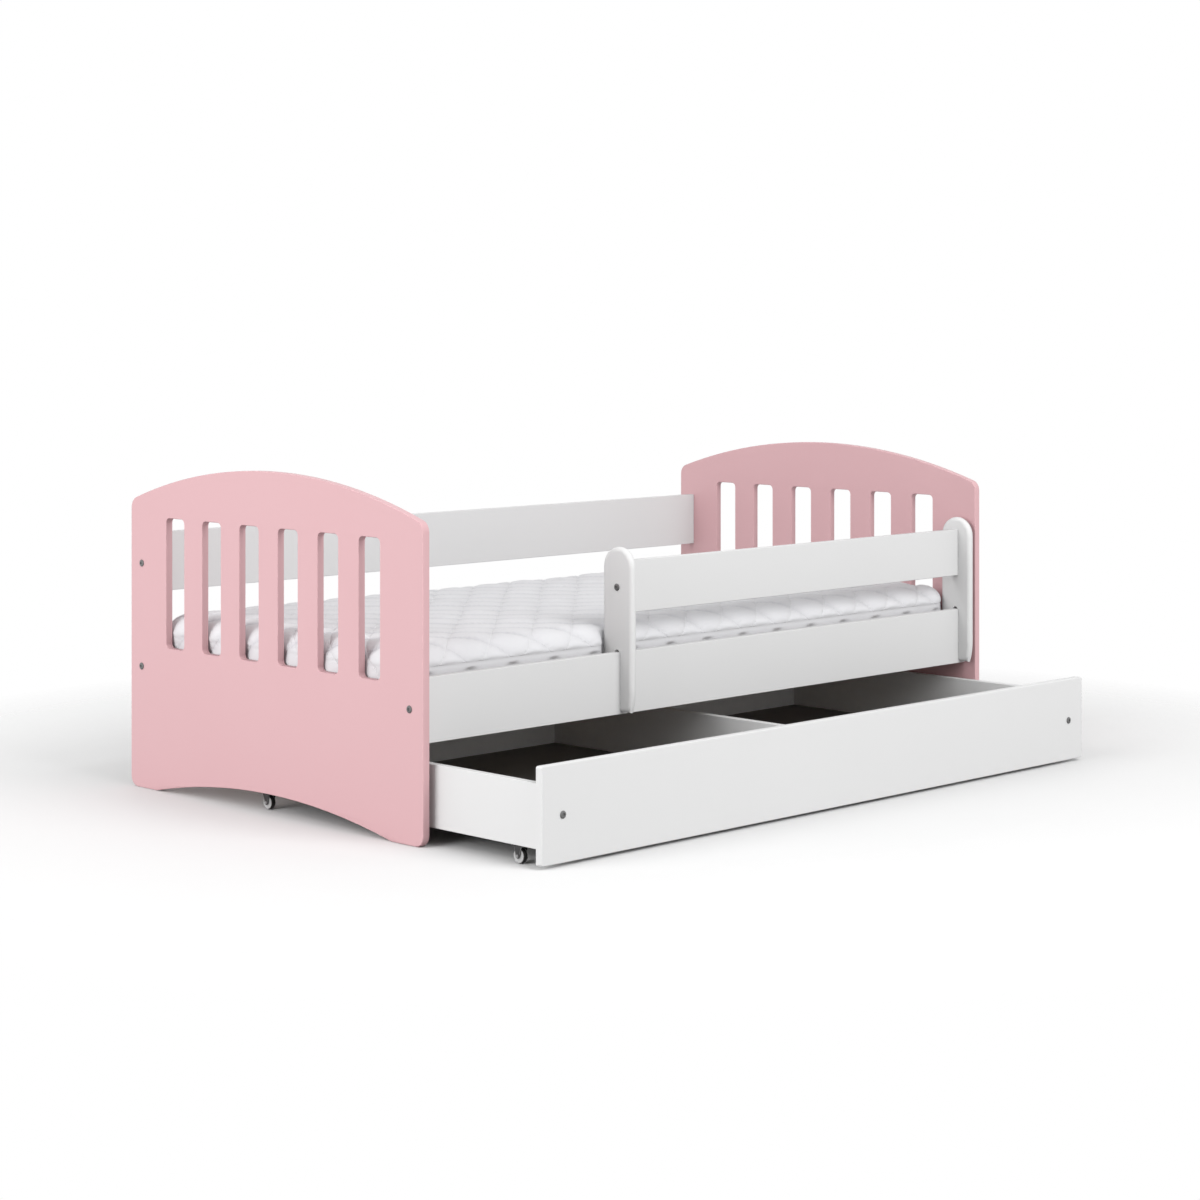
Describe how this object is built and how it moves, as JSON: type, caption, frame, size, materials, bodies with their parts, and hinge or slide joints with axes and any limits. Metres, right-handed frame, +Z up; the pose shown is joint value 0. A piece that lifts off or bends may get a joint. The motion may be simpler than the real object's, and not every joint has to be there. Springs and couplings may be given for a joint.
{
  "type": "toddler bed",
  "caption": "Low child's bed of flat boards with arched slotted end panels, a hook-on guard, a slatted base with a quilted mattress and a divided under-bed drawer on castors.",
  "frame": {"origin": "on the floor under the middle of the bed's box with the drawer part open, as stored", "axes": "+X along the bed from the foot end to the head end, +Y from the front with the guard and drawer to the rear, +Z up"},
  "size_m": [1.645, 1.1894, 0.655],
  "materials": {
    "pink_paint": "satin",
    "white_board": "satin",
    "dark_hardboard": "matte",
    "bare_wood": "matte",
    "mattress_cover": "matte",
    "strap_webbing": "matte",
    "bolt_steel": "satin",
    "zinc_steel": "satin",
    "castor_steel": "satin",
    "castor_tyre": "matte"
  },
  "bodies": {
    "bed_frame": {"foot_panel": "pink_paint", "head_panel": "pink_paint", "front_rail": "white_board", "rear_rail": "white_board", "rear_upper_rail": "white_board", "front_ledger": "bare_wood", "rear_ledger": "bare_wood", "slat_01": "bare_wood", "slat_02": "bare_wood", "slat_03": "bare_wood", "slat_04": "bare_wood", "slat_05": "bare_wood", "slat_06": "bare_wood", "slat_07": "bare_wood", "slat_08": "bare_wood", "slat_09": "bare_wood", "slat_10": "bare_wood", "slat_strap_front": "strap_webbing", "slat_strap_rear": "strap_webbing", "mattress": "mattress_cover", "front_rail_foot_bolt": "bolt_steel", "front_rail_head_bolt": "bolt_steel", "rear_rail_foot_bolt": "bolt_steel", "rear_rail_head_bolt": "bolt_steel", "rear_upper_rail_foot_bolt": "bolt_steel", "rear_upper_rail_head_bolt": "bolt_steel", "front_rail_foot_nut": "zinc_steel", "front_rail_head_nut": "zinc_steel", "rear_rail_foot_nut": "zinc_steel", "rear_rail_head_nut": "zinc_steel", "rear_upper_rail_foot_nut": "zinc_steel", "rear_upper_rail_head_nut": "zinc_steel"},
    "guard": {"guard_post_foot": "white_board", "guard_post_head": "white_board", "guard_board": "white_board", "guard_foot_bolt": "bolt_steel", "guard_head_bolt": "bolt_steel", "guard_foot_nut": "zinc_steel", "guard_head_nut": "zinc_steel"},
    "drawer": {"drawer_front": "white_board", "drawer_inner_front": "white_board", "drawer_back": "white_board", "drawer_side_foot": "white_board", "drawer_side_head": "white_board", "drawer_divider": "white_board", "drawer_bottom": "dark_hardboard", "drawer_foot_bolt": "bolt_steel", "drawer_head_bolt": "bolt_steel", "castor_bracket_front_foot": "castor_steel", "castor_bracket_front_head": "castor_steel", "castor_bracket_rear_foot": "castor_steel", "castor_bracket_rear_head": "castor_steel", "castor_axle_front_foot": "zinc_steel", "castor_axle_front_head": "zinc_steel", "castor_axle_rear_foot": "zinc_steel", "castor_axle_rear_head": "zinc_steel"},
    "wheel_front_foot": {"castor_wheel_front_foot": "castor_tyre"},
    "wheel_front_head": {"castor_wheel_front_head": "castor_tyre"},
    "wheel_rear_foot": {"castor_wheel_rear_foot": "castor_tyre"},
    "wheel_rear_head": {"castor_wheel_rear_head": "castor_tyre"}
  },
  "joints": [
    {"name": "guard_lift", "type": "slide", "parent": "bed_frame", "child": "guard", "axis": [0, 0, 1], "range_m": [0, 0.14]},
    {"name": "drawer_slide", "type": "slide", "parent": "bed_frame", "child": "drawer", "axis": [0, -1, 0], "range_m": [-0.316, 0.44]},
    {"name": "roll_front_foot", "type": "hinge", "parent": "drawer", "child": "wheel_front_foot", "pos_m": [-0.782, -0.52025, 0.0135], "axis": [1, 0, 0], "continuous": true},
    {"name": "roll_front_head", "type": "hinge", "parent": "drawer", "child": "wheel_front_head", "pos_m": [0.782, -0.52025, 0.0135], "axis": [1, 0, 0], "continuous": true},
    {"name": "roll_rear_foot", "type": "hinge", "parent": "drawer", "child": "wheel_rear_foot", "pos_m": [-0.782, 0.18875, 0.0135], "axis": [1, 0, 0], "continuous": true},
    {"name": "roll_rear_head", "type": "hinge", "parent": "drawer", "child": "wheel_rear_head", "pos_m": [0.782, 0.18875, 0.0135], "axis": [1, 0, 0], "continuous": true}
  ],
  "couplings": [
    {"joint": "roll_front_foot", "follows": "drawer_slide", "rad_per_m": 74.074},
    {"joint": "roll_front_head", "follows": "drawer_slide", "rad_per_m": 74.074},
    {"joint": "roll_rear_foot", "follows": "drawer_slide", "rad_per_m": 74.074},
    {"joint": "roll_rear_head", "follows": "drawer_slide", "rad_per_m": 74.074}
  ]
}
